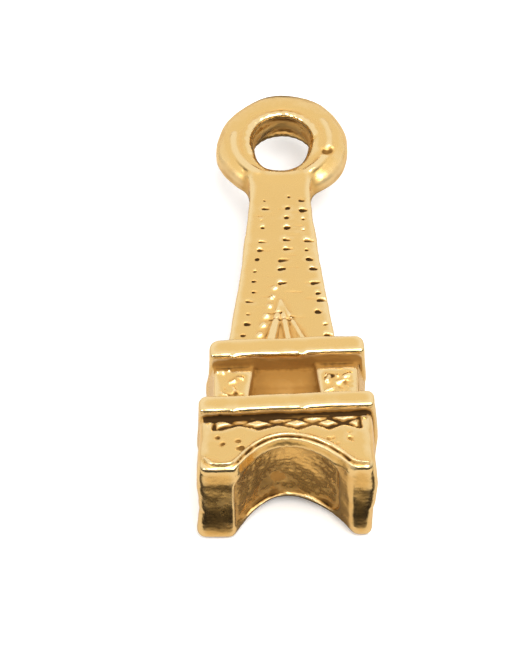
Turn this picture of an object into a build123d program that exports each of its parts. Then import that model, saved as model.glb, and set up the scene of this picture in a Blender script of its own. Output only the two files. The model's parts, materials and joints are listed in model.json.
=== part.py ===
from build123d import *

import math
import os

# Small cast tower charm with a round hanging eye, lying on its back.
# X runs across the tower, Y from the foot ends to the eye, and Z up out of the front face.
# Lengths along the tower count from the foot ends. The nodes are written with the origin
# under the middle of the charm, on the surface that it lies on.
# The casting is the same at the front and at the back of its middle plane, where the two
# halves of the mould met. Millimetres throughout.

# Overall steps along the tower, each a length of its own
SKIRT_LENGTH = 3.45  # foot ends to the underside of the lower deck
LOWER_DECK_THICKNESS = 0.95
MID_LENGTH = 2.6  # open storey between the decks
UPPER_DECK_THICKNESS = 1.05
SHAFT_LENGTH = 10.2
NECK_LENGTH = 1.6

# Widths and depths. Widths are those of the front and back faces. The sides swell by the
# swell values towards the middle plane, where the mould parts.
FOOT_WIDTH = 7.9
SKIRT_TOP_WIDTH = 7.5
LOWER_DECK_WIDTH = 7.86
MID_WIDTH = 6.56
UPPER_DECK_WIDTH = 7.1
SHAFT_BASE_WIDTH = 5.04
SHAFT_WAIST_WIDTH = 3.78
SHAFT_TOP_WIDTH = 2.86
BASE_DEPTH = 5.4  # over the foot ends and over the lower deck
UPPER_DECK_DEPTH = 4.6
SHAFT_BASE_DEPTH = 3.2
SKIRT_SWELL = 0.12
DECK_SWELL = 0.17
MID_SWELL = 0.42
UPPER_DECK_SWELL = 0.1
DECK_OVERHANG = 0.45  # each deck past the face below it
MID_FLARE = 0.2  # how much deeper the mid storey is at its lower end
DECK_CORNER = 0.35  # rounding of the decks' upper corners

# Hollow base
ARCH_HEIGHT = 1.85
ARCH_PLATE = 0.75  # thickness of the arched front and back plates
SIDE_WALL = 1.6  # thickness of the side walls at the foot ends
FOOT_ROUND = 0.6  # rounding where a foot turns into the arch
ROOF_THICKNESS = 0.9

# Open storey between the decks
RECESS_DEPTH = 0.95
RECESS_LOW_WIDTH = 3.45
RECESS_HIGH_WIDTH = 2.85

# Ribs fanning over the foot of the shaft
RIB_RISE = 0.12
RIB_LENGTH = 3.1
RIB_TIP_WIDTH = 0.12
RIB_LEANS = ((-0.5, 0.5), (0.42, 0.42), (1.15, 0.3))  # offset and width at the deck

# Hanging eye
EYE_OUTER_RADIUS = 3.27
EYE_BORE_RADIUS = 1.4
EYE_BORE_DROP = 0.15  # how far the bore sits off centre, towards the neck
EYE_THICKNESS = 1.5
EYE_EDGE = 0.3
NECK_SINK = 1.0  # how far the neck reaches into the eye

# Levels along the tower
LOWER_DECK_Y = SKIRT_LENGTH
MID_Y = LOWER_DECK_Y + LOWER_DECK_THICKNESS
UPPER_DECK_Y = MID_Y + MID_LENGTH
SHAFT_Y = UPPER_DECK_Y + UPPER_DECK_THICKNESS
NECK_Y = SHAFT_Y + SHAFT_LENGTH
EYE_BOTTOM_Y = NECK_Y + NECK_LENGTH - NECK_SINK
EYE_Y = EYE_BOTTOM_Y + EYE_OUTER_RADIUS
OVERALL_LENGTH = EYE_Y + EYE_OUTER_RADIUS
MIDDLE_Z = max(BASE_DEPTH, UPPER_DECK_DEPTH) / 2

# Inner faces of the base
CAVITY_HALF_WIDTH = FOOT_WIDTH / 2 - SIDE_WALL
CAVITY_HALF_DEPTH = BASE_DEPTH / 2 - ARCH_PLATE
CAVITY_ROOF_Y = SKIRT_LENGTH - ROOF_THICKNESS

SIDES = {"left": -1, "right": 1}
FACES = {"front": 1, "rear": -1}
REACH = 4 * (FOOT_WIDTH + BASE_DEPTH)  # past every face of the casting


def block(x_range, y_range, z_range):
    """A box given by its limits, with Z counted from the middle plane."""
    (x0, x1), (y0, y1), (z0, z1) = sorted(x_range), sorted(y_range), sorted(z_range)
    size = (x1 - x0, y1 - y0, z1 - z0)
    centre = ((x0 + x1) / 2, (y0 + y1) / 2, MIDDLE_Z + (z0 + z1) / 2)
    return Pos(*centre) * Box(*size)


def swollen_section(y, width, depth, swell):
    """A cross-section at y: a rectangle whose sides swell out at the middle plane."""
    w, d = width / 2, depth / 2
    corners = [(-w, -d), (w, -d), (w + swell, 0), (w, d), (-w, d), (-w - swell, 0)]
    return Face(Wire.make_polygon([(x, y, MIDDLE_Z + z) for x, z in corners]))


def swollen_slab(y0, y1, low, high):
    """The straight-sided solid between two sections, each given by width, depth, swell."""
    return loft([swollen_section(y0, *low), swollen_section(y1, *high)], ruled=True)


def front_prism(face):
    """An outline drawn on the middle plane, carried right through from back to front."""
    return Pos(0, 0, MIDDLE_Z) * extrude(face, REACH / 2, both=True)


def side_prism(face):
    """An outline drawn in (y, z) about the middle plane, carried from side to side."""
    plane = Plane(origin=(0, 0, MIDDLE_Z), x_dir=(0, 1, 0), z_dir=(1, 0, 0))
    return extrude(plane * face, REACH / 2, both=True)


def arch_opening():
    """The opening under an arch: one arc over the crown that turns into rounded feet."""
    foot_x = CAVITY_HALF_WIDTH + FOOT_ROUND
    rise = ARCH_HEIGHT - FOOT_ROUND
    crown = (foot_x**2 + rise**2 - FOOT_ROUND**2) / (2 * ARCH_HEIGHT)
    crown_y = ARCH_HEIGHT - crown
    share = crown / (crown + FOOT_ROUND)
    turn = (foot_x * share, crown_y + (FOOT_ROUND - crown_y) * share)
    lean = math.atan2(foot_x, FOOT_ROUND - crown_y) / 2
    knee = (
        foot_x - FOOT_ROUND * math.sin(lean),
        FOOT_ROUND * (1 - math.cos(lean)),
    )
    top = (0, ARCH_HEIGHT)
    shoulder = (crown * math.sin(lean), crown_y + crown * math.cos(lean))

    def flip(point):
        return (-point[0], point[1])

    edges = [
        ThreePointArc(turn, shoulder, top),
        ThreePointArc(top, flip(shoulder), flip(turn)),
        ThreePointArc(flip(turn), flip(knee), (-foot_x, 0)),
        Polyline((-foot_x, 0), (-foot_x, -1), (foot_x, -1), (foot_x, 0)),
        ThreePointArc((foot_x, 0), knee, turn),
    ]
    return front_prism(make_face(edges))


def deck(y0, thickness, width, depth, swell):
    """A flat deck whose four upper corners are rounded."""
    slab = swollen_slab(y0, y0 + thickness, (width, depth, swell), (width, depth, swell))
    top = slab.faces().sort_by(Axis.Y)[-1]
    ends = [e for e in top.edges() if abs(e.center().X) > width / 4]
    return fillet(ends, min(DECK_CORNER, 0.45 * thickness))


def build_base():
    """The hollow foot of the tower, from the foot ends to the lower deck."""
    top_depth = BASE_DEPTH - 2 * DECK_OVERHANG
    skirt = swollen_slab(
        0,
        SKIRT_LENGTH,
        (FOOT_WIDTH, BASE_DEPTH, SKIRT_SWELL),
        (SKIRT_TOP_WIDTH, top_depth, SKIRT_SWELL),
    )
    opening = arch_opening()
    inner, deep, full = CAVITY_HALF_WIDTH, CAVITY_HALF_DEPTH, (0, SKIRT_LENGTH)
    nodes = {}
    for side, x in SIDES.items():
        wall = block((x * inner, x * REACH), full, (-deep, deep))
        nodes[f"side_wall_{side}"] = skirt & wall
    for front, z in FACES.items():
        for side, x in SIDES.items():
            corner = block((x * inner, x * REACH), full, (z * deep, z * REACH))
            nodes[f"pier_{front}_{side}"] = (skirt & corner) - opening
        crown = block((-inner, inner), full, (z * deep, z * REACH))
        nodes[f"arch_{front}"] = (skirt & crown) - opening
    roof = block((-inner, inner), (CAVITY_ROOF_Y, SKIRT_LENGTH), (-deep, deep))
    nodes["base_roof"] = skirt & roof
    return nodes


def build_mid_storey():
    """The storey between the decks: a core slab with four posts standing proud of it."""
    high_depth = UPPER_DECK_DEPTH - 2 * DECK_OVERHANG
    storey = swollen_slab(
        MID_Y,
        UPPER_DECK_Y,
        (MID_WIDTH, high_depth + MID_FLARE, MID_SWELL),
        (MID_WIDTH, high_depth, MID_SWELL),
    )
    low, high = RECESS_LOW_WIDTH / 2, RECESS_HIGH_WIDTH / 2
    outline = Polyline(
        (-low, MID_Y), (low, MID_Y), (high, UPPER_DECK_Y), (-high, UPPER_DECK_Y), close=True
    )
    recess = front_prism(make_face(outline))
    core_half = high_depth / 2 - RECESS_DEPTH
    levels = (MID_Y, UPPER_DECK_Y)
    nodes = {"mid_core": storey & block((-REACH, REACH), levels, (-core_half, core_half))}
    for front, z in FACES.items():
        for side, x in SIDES.items():
            post = block((0, x * REACH), levels, (z * core_half, z * REACH))
            nodes[f"mid_post_{front}_{side}"] = (storey & post) - recess
    return nodes


def shaft_outline():
    """The front outline of the shaft, whose sides flare towards the deck."""
    low, waist, high = SHAFT_BASE_WIDTH / 2, SHAFT_WAIST_WIDTH / 2, SHAFT_TOP_WIDTH / 2
    middle_y = (SHAFT_Y + NECK_Y) / 2 - SHAFT_LENGTH / 15
    right = ThreePointArc((low, SHAFT_Y), (waist, middle_y), (high, NECK_Y))
    left = ThreePointArc((-high, NECK_Y), (-waist, middle_y), (-low, SHAFT_Y))
    edges = [
        right,
        Line((high, NECK_Y), (-high, NECK_Y)),
        left,
        Line((-low, SHAFT_Y), (low, SHAFT_Y)),
    ]
    return make_face(edges)


def shaft_side(proud):
    """The side outline of the shaft, with each face moved out by proud."""
    low, high = SHAFT_BASE_DEPTH / 2 + proud, EYE_THICKNESS / 2 + proud
    outline = Polyline(
        (SHAFT_Y, -low), (NECK_Y, -high), (NECK_Y, high), (SHAFT_Y, low), close=True
    )
    return make_face(outline)


def build_shaft():
    """The tapering shaft and the ribs that fan over its foot, front and back."""
    shaft = front_prism(shaft_outline()) & side_prism(shaft_side(0))
    skin = side_prism(shaft_side(RIB_RISE)) - shaft
    nodes = {"spire_shaft": shaft}
    for front, z in FACES.items():
        half = block((-REACH, REACH), (SHAFT_Y, NECK_Y), (0, z * REACH))
        ribs = []
        for lean, width in RIB_LEANS:
            tip_y = SHAFT_Y + RIB_LENGTH - abs(lean) / 3
            outline = Polyline(
                (lean - width / 2, SHAFT_Y),
                (lean + width / 2, SHAFT_Y),
                (lean / 6 + RIB_TIP_WIDTH / 2, tip_y),
                (lean / 6 - RIB_TIP_WIDTH / 2, tip_y),
                close=True,
            )
            ribs.append(front_prism(make_face(outline)) & skin & half)
        nodes[f"shaft_ribs_{front}"] = ribs
    return nodes


def build_eye():
    """The hanging eye, and the neck that carries it on the shaft."""
    disc = Cylinder(EYE_OUTER_RADIUS, EYE_THICKNESS)
    bore = Pos(0, -EYE_BORE_DROP, 0) * Cylinder(EYE_BORE_RADIUS, 2 * EYE_THICKNESS)
    eye = disc - bore
    eye = fillet(eye.edges().filter_by(GeomType.CIRCLE), EYE_EDGE)
    half = EYE_THICKNESS / 2
    neck = block(
        (-SHAFT_TOP_WIDTH / 2, SHAFT_TOP_WIDTH / 2),
        (NECK_Y, NECK_Y + NECK_LENGTH),
        (-half, half),
    )
    return {"hanging_eye_ring": Pos(0, EYE_Y, MIDDLE_Z) * eye - neck, "ring_neck": neck}


def build_decks():
    """The two decks."""
    return {
        "lower_deck": deck(
            LOWER_DECK_Y, LOWER_DECK_THICKNESS, LOWER_DECK_WIDTH, BASE_DEPTH, DECK_SWELL
        ),
        "upper_deck": deck(
            UPPER_DECK_Y,
            UPPER_DECK_THICKNESS,
            UPPER_DECK_WIDTH,
            UPPER_DECK_DEPTH,
            UPPER_DECK_SWELL,
        ),
    }


def placed_solids(shape):
    """The separate solids of a shape or of a list of shapes, about the charm's middle."""
    shapes = shape if isinstance(shape, list) else [shape]
    place = Pos(0, -OVERALL_LENGTH / 2, 0)
    return [place * solid for item in shapes for solid in item.solids()]


def write(nodes):
    """One file for each node, named after it."""
    os.makedirs("parts", exist_ok=True)
    for name, shape in nodes.items():
        solids = placed_solids(shape)
        part = solids[0] if len(solids) == 1 else Compound(children=solids)
        part.label = name
        export_step(part, f"parts/{name}.step")
        print(name, len(solids), "solid(s),", round(sum(s.volume for s in solids), 3), "mm3")


write({**build_base(), **build_decks(), **build_mid_storey(), **build_shaft(), **build_eye()})
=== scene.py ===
"""A gold-plated cast tower charm, lying on its back on a pale table.

The casting is worked out as one field of signed distances in millimetres, so that its members
run into each other with the soft fillets of a real casting. The field is then cut at the joints
between members into one closed piece for each of them.
"""

import json
import logging
import math
from collections.abc import Callable, Sequence
from dataclasses import dataclass, field
from enum import Enum

import bpy
import numpy as np
from mathutils import Matrix, Vector


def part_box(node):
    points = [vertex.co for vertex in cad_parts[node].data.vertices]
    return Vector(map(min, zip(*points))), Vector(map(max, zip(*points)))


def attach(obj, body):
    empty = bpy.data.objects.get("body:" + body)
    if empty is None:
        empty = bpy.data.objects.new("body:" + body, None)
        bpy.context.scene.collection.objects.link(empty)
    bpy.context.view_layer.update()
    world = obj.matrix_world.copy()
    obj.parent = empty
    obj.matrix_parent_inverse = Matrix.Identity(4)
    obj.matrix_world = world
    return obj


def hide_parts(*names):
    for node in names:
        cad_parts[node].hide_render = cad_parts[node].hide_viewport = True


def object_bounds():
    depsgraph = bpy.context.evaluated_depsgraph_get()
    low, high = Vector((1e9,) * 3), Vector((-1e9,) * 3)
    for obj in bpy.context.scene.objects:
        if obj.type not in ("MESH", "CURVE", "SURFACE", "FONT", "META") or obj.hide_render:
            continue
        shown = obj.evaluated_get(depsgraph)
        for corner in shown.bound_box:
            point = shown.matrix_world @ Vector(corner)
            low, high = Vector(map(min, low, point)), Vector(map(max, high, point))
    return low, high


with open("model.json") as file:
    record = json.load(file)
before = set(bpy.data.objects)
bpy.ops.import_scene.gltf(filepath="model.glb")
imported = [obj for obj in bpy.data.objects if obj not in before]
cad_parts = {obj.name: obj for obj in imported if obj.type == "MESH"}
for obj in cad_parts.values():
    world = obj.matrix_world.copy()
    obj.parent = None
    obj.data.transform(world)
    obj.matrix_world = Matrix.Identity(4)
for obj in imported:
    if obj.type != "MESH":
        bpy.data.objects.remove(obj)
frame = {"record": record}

CAD_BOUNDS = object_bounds()

Array = np.ndarray
Point = tuple[float, float, float]
Shape = Callable[[Array, Array, Array], Array]  # what is at x, y, z
Tests = dict[str, Shape]

log = logging.getLogger("tower_charm")

MM = 1000.0  # millimetres in a metre
PITCH = 0.066  # spacing of the field's samples
MARGIN = 0.3  # of the field round the casting
FAR = 4.0  # the distance given to samples that no metal is near
EVERYWHERE = 9.0 * FAR  # past every sample
STROKE_SPARE = 0.1  # of the grid round a bead or groove
SEED = 11


class Face(Enum):
    """The broad faces of the tower, with the way that each points along z."""

    FRONT = 1
    REAR = -1

    def node(self, stem: str) -> str:
        """The name of this face's CAD node."""
        return f"{stem}_{self.name.lower()}"


class Side(Enum):
    """The sides of the tower, with the way that each points along x."""

    LEFT = -1
    RIGHT = 1

    def node(self, stem: str) -> str:
        """The name of this side's CAD node."""
        return f"{stem}_{self.name.lower()}"


# Distance fields -------------------------------------------------------------------------


def soft_min(a: Array, b: Array, blend: float) -> Array:
    """The union of two fields, with a fillet of about blend where they meet."""
    h = np.clip(0.5 + 0.5 * (b - a) / blend, 0.0, 1.0)
    return b + (a - b) * h - blend * h * (1.0 - h)


def soft_max(a: Array, b: Array, blend: float) -> Array:
    """What two fields share, with edges rounded by about blend."""
    return -soft_min(-a, -b, blend)


def rounded(radius: float | Array, *gaps: Array) -> Array:
    """A solid held between pairs of faces, with rounded edges.

    Args:
        radius: rounding of the edges.
        gaps: for each pair of faces, the distance outside it, below zero inside.

    Returns:
        The signed distance from the solid.
    """
    pulled = [gap + radius for gap in gaps]
    outside = sum(np.maximum(gap, 0.0) ** 2 for gap in pulled) ** 0.5
    inside = pulled[0]
    for gap in pulled[1:]:
        inside = np.maximum(inside, gap)
    return outside + np.minimum(inside, 0.0) - radius


def mix(low: float, high: float, share: Array | float) -> Array | float:
    """A value between low and high, with share held to 0..1."""
    return low + (high - low) * np.clip(share, 0.0, 1.0)


@dataclass
class Block:
    """The limits of one or more CAD nodes, in millimetres."""

    low: Vector
    high: Vector

    @classmethod
    def of(cls, *nodes: str) -> "Block":
        """The limits that hold every named node.

        Args:
            nodes: the names of the nodes.

        Returns:
            The limits, in millimetres.
        """
        boxes = [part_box(node) for node in nodes]
        low = Vector([min(box[0][i] for box in boxes) for i in range(3)]) * MM
        high = Vector([max(box[1][i] for box in boxes) for i in range(3)]) * MM
        return cls(low, high)

    @property
    def size(self) -> Vector:
        """Width, length and depth."""
        return self.high - self.low

    @property
    def middle(self) -> Vector:
        """The centre of the limits."""
        return (self.high + self.low) / 2


class Field:
    """The casting as signed distances on a regular grid, below zero in the metal."""

    def __init__(self, block: Block, pitch: float) -> None:
        """Lays the grid out.

        Args:
            block: the space that the casting fills.
            pitch: the spacing of the samples.
        """
        self.pitch = pitch
        self.axes = [
            np.arange(block.low[i] - MARGIN, block.high[i] + MARGIN + pitch, pitch, np.float64)
            for i in range(3)
        ]
        self.value = np.full([len(axis) for axis in self.axes], FAR)

    def at(self, points: Array) -> Array:
        """The distances at any points, read between the samples.

        Args:
            points: rows of x, y and z.

        Returns:
            The signed distance at each point.
        """
        origin = np.array([axis[0] for axis in self.axes])
        last = np.array(self.value.shape) - 2
        wanted = (points - origin) / self.pitch
        place = np.clip(wanted, 0.0, last + 0.999)
        cell = place.astype(int)
        share = place - cell
        total = np.zeros(len(points))
        for step in np.ndindex(2, 2, 2):
            weight = np.prod(np.where(step, share, 1.0 - share), axis=1)
            total += weight * self.value[tuple((cell + step).T)]
        return total + np.linalg.norm(wanted - place, axis=1) * self.pitch

    def sunk(self, points: Array, reach: float, above: float, fade: float = 0.4) -> Array:
        """How far points lie below the level that a polishing wheel reaches.

        Args:
            points: rows of x, y and z.
            reach: the widest gap along the tower that the wheel doesn't enter.
            above: the level along the tower from which the depth counts.
            fade: how far above that level it counts in full.

        Returns:
            The depth of each point below that level, or 0.
        """
        solid = self.value < 0
        middle = (self.axes[2][0] + self.axes[2][-1]) / 2
        top = self.axes[2][-1] - solid[:, :, ::-1].argmax(2) * self.pitch
        level = np.where(solid.any(2), top, 0) - middle
        half = int(reach / self.pitch / 2)
        for pick in (np.maximum, np.minimum):
            spread = level.copy()
            for step in range(1, half + 1):
                spread[:, step:] = pick(spread[:, step:], level[:, :-step])
                spread[:, :-step] = pick(spread[:, :-step], level[:, step:])
            level = spread
        near = [
            ((points[:, i] - self.axes[i][0]) / self.pitch).round().astype(int) for i in range(2)
        ]
        cell = [np.clip(index, 0, size - 1) for index, size in zip(near, level.shape)]
        depth = np.maximum(level[cell[0], cell[1]] - np.abs(points[:, 2] - middle), 0.0)
        return depth * np.clip((points[:, 1] - above) / fade, 0.0, 1.0)

    def window(self, low: Sequence[float], high: Sequence[float]) -> tuple[slice, ...]:
        """The part of the grid between two corners, low and high."""
        spans = (np.searchsorted(axis, (a, b)) for axis, a, b in zip(self.axes, low, high))
        return tuple(slice(int(a), int(b)) for a, b in spans)

    def places(self, part: tuple[slice, ...]) -> tuple[Array, Array, Array]:
        """Broadcasting x, y and z of the samples in a part of the grid."""
        x, y, z = (axis[span] for axis, span in zip(self.axes, part))
        return x[:, None, None], y[None, :, None], z[None, None, :]

    def join(
        self,
        low: Sequence[float],
        high: Sequence[float],
        shape: Shape,
        blend: float,
    ) -> None:
        """Adds metal between two corners.

        Args:
            low: lowest corner of the part of the grid that changes.
            high: its highest corner.
            shape: gives the signed distance at x, y, z.
            blend: fillet where the new metal meets the old.
        """
        part = self.window(low, high)
        if min(self.value[part].shape):
            added = shape(*self.places(part))
            self.value[part] = soft_min(self.value[part], added, blend)

    def cut(
        self,
        low: Sequence[float],
        high: Sequence[float],
        shape: Shape,
        blend: float,
    ) -> None:
        """Takes metal away between two corners.

        Args:
            low: lowest corner of the part of the grid that changes.
            high: its highest corner.
            shape: gives the signed distance of what is taken away, at x, y, z.
            blend: rounding of the new edges.
        """
        part = self.window(low, high)
        if min(self.value[part].shape):
            removed = shape(*self.places(part))
            self.value[part] = soft_max(self.value[part], -removed, blend)

    def stroke(self, a: Point, b: Point, radii: Point, add: bool, blend: float) -> None:
        """A bead or a groove along a straight line.

        Args:
            a: one end.
            b: the other end.
            radii: radius at a, radius at b, and how flat it is along z, 1 being round.
            add: whether it stands proud, and is a groove otherwise.
            blend: softness of its edges.
        """
        reach = max(radii[:2]) + 2 * blend + STROKE_SPARE
        start, run = np.array(a), np.array(b) - np.array(a)
        flat = np.array((1.0, 1.0, radii[2]))
        length = max(float(((run * flat) ** 2).sum()), 1e-9)

        def shape(x: Array, y: Array, z: Array) -> Array:
            """The distance from the line, less its radius.

            Args:
                x, y, z: the places, in millimetres.

            Returns:
                The signed distance, below zero inside.
            """
            away = [(p - q) * f for p, q, f in zip((x, y, z), start, flat)]
            along = sum(d * r * f for d, r, f in zip(away, run, flat)) / length
            along = np.clip(along, 0.0, 1.0)
            gap = sum((d - along * r * f) ** 2 for d, r, f in zip(away, run, flat)) ** 0.5
            return gap - mix(radii[0], radii[1], along)

        low = [min(p, q) - reach for p, q in zip(a, b)]
        high = [max(p, q) + reach for p, q in zip(a, b)]
        (self.join if add else self.cut)(low, high, shape, blend)


# Members of the casting ------------------------------------------------------------------


@dataclass
class Member:
    """One member or group of members of the casting."""

    block: Block

    def shape(self, metal: Field) -> None:
        """Adds the member's metal to the field."""

    def detail(self, metal: Field, rng: np.random.Generator) -> None:
        """Adds the small marks of the casting."""

    def nodes(self) -> Tests:
        """For each CAD node, a test of whether a sample of metal belongs to it."""
        return {}

    def coarse(self, points: Array) -> Array:
        """How much rougher than the faces this member is, for each point."""
        return np.zeros(len(points))

    def spread(self, past: float = 0.0) -> tuple[Vector, Vector]:
        """The corners of the member's limits, with past added all round."""
        more = Vector((MARGIN + past,) * 3)
        return self.block.low - more, self.block.high + more

    @property
    def mid(self) -> float:
        """The height of the middle plane, where the two halves of the mould met."""
        return self.block.middle.z

    def level(self, face: Face, out: float) -> float:
        """The height of what lies out from the middle plane, on one face."""
        return self.mid + face.value * out


@dataclass
class HollowBase(Member):
    """The foot of the tower: two arched plates, two side walls and a roof."""

    roof: Block
    cavity_round: float = 0.55
    foot_round: float = 0.42
    corner_round: float = 0.42
    swell: float = 0.12
    depth_taper: float = 0.45  # lost from half the depth on the way up to the deck
    width_taper: float = 0.12
    splay_out: float = 0.24  # of the left rear foot
    bead_offset: float = 0.31  # middle of the bead, from the edge of the arch
    bead_half: float = 0.075
    groove_offset: float = 0.17
    groove_half: float = 0.05
    proud: float = 0.1  # of the bead, and how deep the groove beside it is
    step_rise: float = 0.2
    step_depth: float = 0.34
    front_crown: float = 1.66
    rear_crown: float = 2.03
    front_spans: tuple[float, float] = (2.2, 2.85)  # half spans at the left and the right
    rear_spans: tuple[float, float] = (2.45, 3.0)
    deck_lean: float = 0.035
    strut_ends: tuple[float, ...] = (-3.0, -1.25, 0.55, 1.95, 3.3)
    strut_levels: tuple[float, float] = (0.82, 0.2)  # below the deck
    frame_ends: tuple[float, float] = (-3.25, 3.35)
    pit_spans: tuple[tuple[float, float], ...] = ((2.0, 3.4), (1.6, 3.2))
    pit_levels: tuple[float, float] = (1.2, 2.45)
    pits_a_side: int = 6
    mould_roughness: float = 10.0

    @property
    def foot(self) -> float:
        """The level of the foot ends."""
        return self.block.low.y

    def half_depth(self, y: Array) -> Array:
        """Half the depth of the skirt, which flares towards the feet."""
        share = (y - self.foot) / self.block.size.y
        return mix(self.block.size.z / 2, self.block.size.z / 2 - self.depth_taper, share)

    def half_width(self, y: Array, z: Array) -> Array:
        """Half the width of the skirt, with the swell of its sides.

        Args:
            y: the level along the tower.
            z: the height.

        Returns:
            Half the width, in millimetres.
        """
        share = (y - self.foot) / self.block.size.y
        flank = np.clip(1.0 - np.abs(z - self.mid - 1.0) / 1.6, 0.0, 1.0) ** 0.5
        foot_half = self.block.size.x / 2 - self.swell
        return mix(foot_half, foot_half - self.width_taper, share) + self.swell * 1.5 * flank

    def splay(self, x: Array, y: Array, z: Array) -> Array:
        """How far the left rear foot stands out beyond the others."""
        low = np.clip((self.mid - z) / 2.0, 0.0, 1.0) * np.clip(1.4 - y + self.foot, 0.0, 1.0)
        return np.where(x < 0, self.splay_out, 0.0) * low

    def arch_gap(self, x: Array, y: Array, z: Array) -> Array:
        """Distance above the edge of the arch, below zero in the opening.

        Args:
            x, y, z: the places, in millimetres.

        Returns:
            The distance, less steep beyond the springing of the arch.
        """
        front = np.clip((z - self.mid) / self.block.size.z + 0.5, 0.0, 1.0)
        crown = mix(self.rear_crown, self.front_crown, front)
        near = np.where(x < 0, self.front_spans[0], self.front_spans[1])
        far = np.where(x < 0, self.rear_spans[0], self.rear_spans[1])
        share = np.abs(x) / (far + (near - far) * front)
        proud = self.half_depth(y) - np.abs(z - self.mid)
        step = self.step_rise * np.clip(1.5 - proud / self.step_depth, 0.0, 1.0)
        height = crown * (1.0 - share**2) + step
        return (y - self.foot - height) * (0.62 + 0.38 * np.exp(-3.0 * share**2))

    def shape(self, metal: Field) -> None:
        """The skirt, hollowed from below and opened by the arches.

        Args:
            metal: the field of the casting.
        """
        inner = self.roof.size.x / 2
        deep = self.roof.size.z / 2

        def skirt(x: Array, y: Array, z: Array) -> Array:
            """The outside of the skirt, running up into the lower deck.

            Args:
                x, y, z: the places, in millimetres.

            Returns:
                The signed distance, below zero inside.
            """
            across = np.abs(x) - self.half_width(y, z) - self.splay(x, y, z)
            through = np.abs(z - self.mid) - self.half_depth(y)
            ends = np.maximum(self.foot - y, y - self.block.high.y - 0.3)
            outline = rounded(self.corner_round, across, ends)
            body = rounded(self.foot_round, outline, through)
            opening = self.arch_gap(x, y, z)
            hollow = rounded(
                self.cavity_round,
                np.abs(x) - inner,
                np.abs(z - self.mid) - deep,
                y - self.roof.low.y,
            )
            body = soft_max(body, -opening, 0.2)
            return soft_max(body, -hollow, 0.12)

        metal.join(*self.spread(0.4), skirt, 0.02)

    def detail(self, metal: Field, rng: np.random.Generator) -> None:
        """The bead along each arch, the lattice under the deck, and pits.

        Args:
            metal: the field of the casting.
            rng: gives the places and sizes.
        """

        def from_edge(x: Array, y: Array, z: Array) -> Array:
            """Distance in from the arch, the foot end and the lower part of the left side.

            Args:
                x, y, z: the places, in millimetres.

            Returns:
                The distance, in millimetres.
            """
            edge = soft_min(self.arch_gap(x, y, z), y - self.foot, 0.35)
            side = self.block.size.x / 2 - 0.15 + x + 0.8 * np.maximum(y - self.foot - 0.55, 0.0)
            return soft_min(edge, side, 0.6)

        def groove(x: Array, y: Array, z: Array) -> Array:
            """A fine groove in the faces, between the bead and the edge of the arch.

            Args:
                x, y, z: the places, in millimetres.

            Returns:
                The signed distance, below zero inside.
            """
            beside = np.abs(from_edge(x, y, z) - self.groove_offset) - self.groove_half
            deep = self.half_depth(y) - self.proud - np.abs(z - self.mid)
            return rounded(0.04, beside, deep)

        def bead(x: Array, y: Array, z: Array) -> Array:
            """A thin line standing proud of the front and back faces beside the arch.

            Args:
                x, y, z: the places, in millimetres.

            Returns:
                The signed distance, below zero inside.
            """
            beside = np.abs(from_edge(x, y, z) - self.bead_offset) - self.bead_half
            proud = np.abs(z - self.mid) - self.half_depth(y) - self.proud
            ends = np.abs(x) - self.block.size.x / 2 + 0.3
            return rounded(0.08, beside, proud, ends)

        low, high = self.spread()
        high.y = self.block.high.y - 0.6
        metal.join(low, high, bead, 0.05)
        metal.cut(low, high, groove, 0.03)
        for face in Face:
            self.crease(metal, face)
            self.lattice(metal, face)
            self.pits(metal, face, rng)

    def coarse(self, points: Array) -> Array:
        """The wall of the cavity is left as the mould gave it.

        Args:
            points: rows of x, y and z.

        Returns:
            For each point, how much rougher it is than the faces.
        """
        x, y, z = points.T
        depth = rounded(
            0.4,
            np.abs(x) - self.roof.size.x / 2 - 0.1,
            np.abs(z - self.mid) - self.roof.size.z / 2 - 0.1,
            y - self.roof.low.y - 0.2,
        )
        return self.mould_roughness * np.clip(-depth / 0.15, 0.0, 1.0)

    def on_face(self, x: float, y: float, face: Face) -> Point:
        """A point just proud of the skirt's face."""
        return (x, y, self.level(face, self.half_depth(y) + 0.02))

    def crease(self, metal: Field, face: Face) -> None:
        """The dark crease just under the lip of the lower deck.

        Args:
            metal: the casting.
            face: the face that it is in.
        """
        end = self.block.size.x / 2 - 0.45
        ends = [
            self.on_face(x, self.block.high.y - 0.13 + self.deck_lean * x, face)
            for x in (-end, end)
        ]
        metal.stroke(ends[0], ends[1], (0.17, 0.12, 0.8), False, 0.04)

    def lattice(self, metal: Field, face: Face) -> None:
        """Flat crossed struts cut as grooves in one face, under the lower deck.

        Args:
            metal: the casting.
            face: the face that they are in.
        """
        low, high = (self.block.high.y - down for down in self.strut_levels)
        for left, right in zip(self.strut_ends, self.strut_ends[1:]):
            for start, end in ((low, high), (high, low)):
                a, b = self.on_face(left, start, face), self.on_face(right, end, face)
                metal.stroke(a, b, (0.15, 0.11, 0.7), False, 0.06)
        for x in self.frame_ends:
            a, b = self.on_face(x, low, face), self.on_face(x, high, face)
            metal.stroke(a, b, (0.14, 0.1, 0.7), False, 0.06)

    def pits(self, metal: Field, face: Face, rng: np.random.Generator) -> None:
        """Small pits in the face beside the arch.

        Args:
            metal: the casting.
            face: the face that they are in.
            rng: gives the places.
        """
        for side, span in zip(Side, self.pit_spans):
            for _ in range(self.pits_a_side):
                x = side.value * rng.uniform(*span)
                y = self.foot + rng.uniform(*self.pit_levels)
                z = self.level(face, self.half_depth(y) + 0.03)
                size = rng.uniform(0.09, 0.16)
                end = (x + 0.1 * side.value, y, z)
                metal.stroke((x, y, z), end, (size, size * 0.7, 1), False, 0.04)

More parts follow.
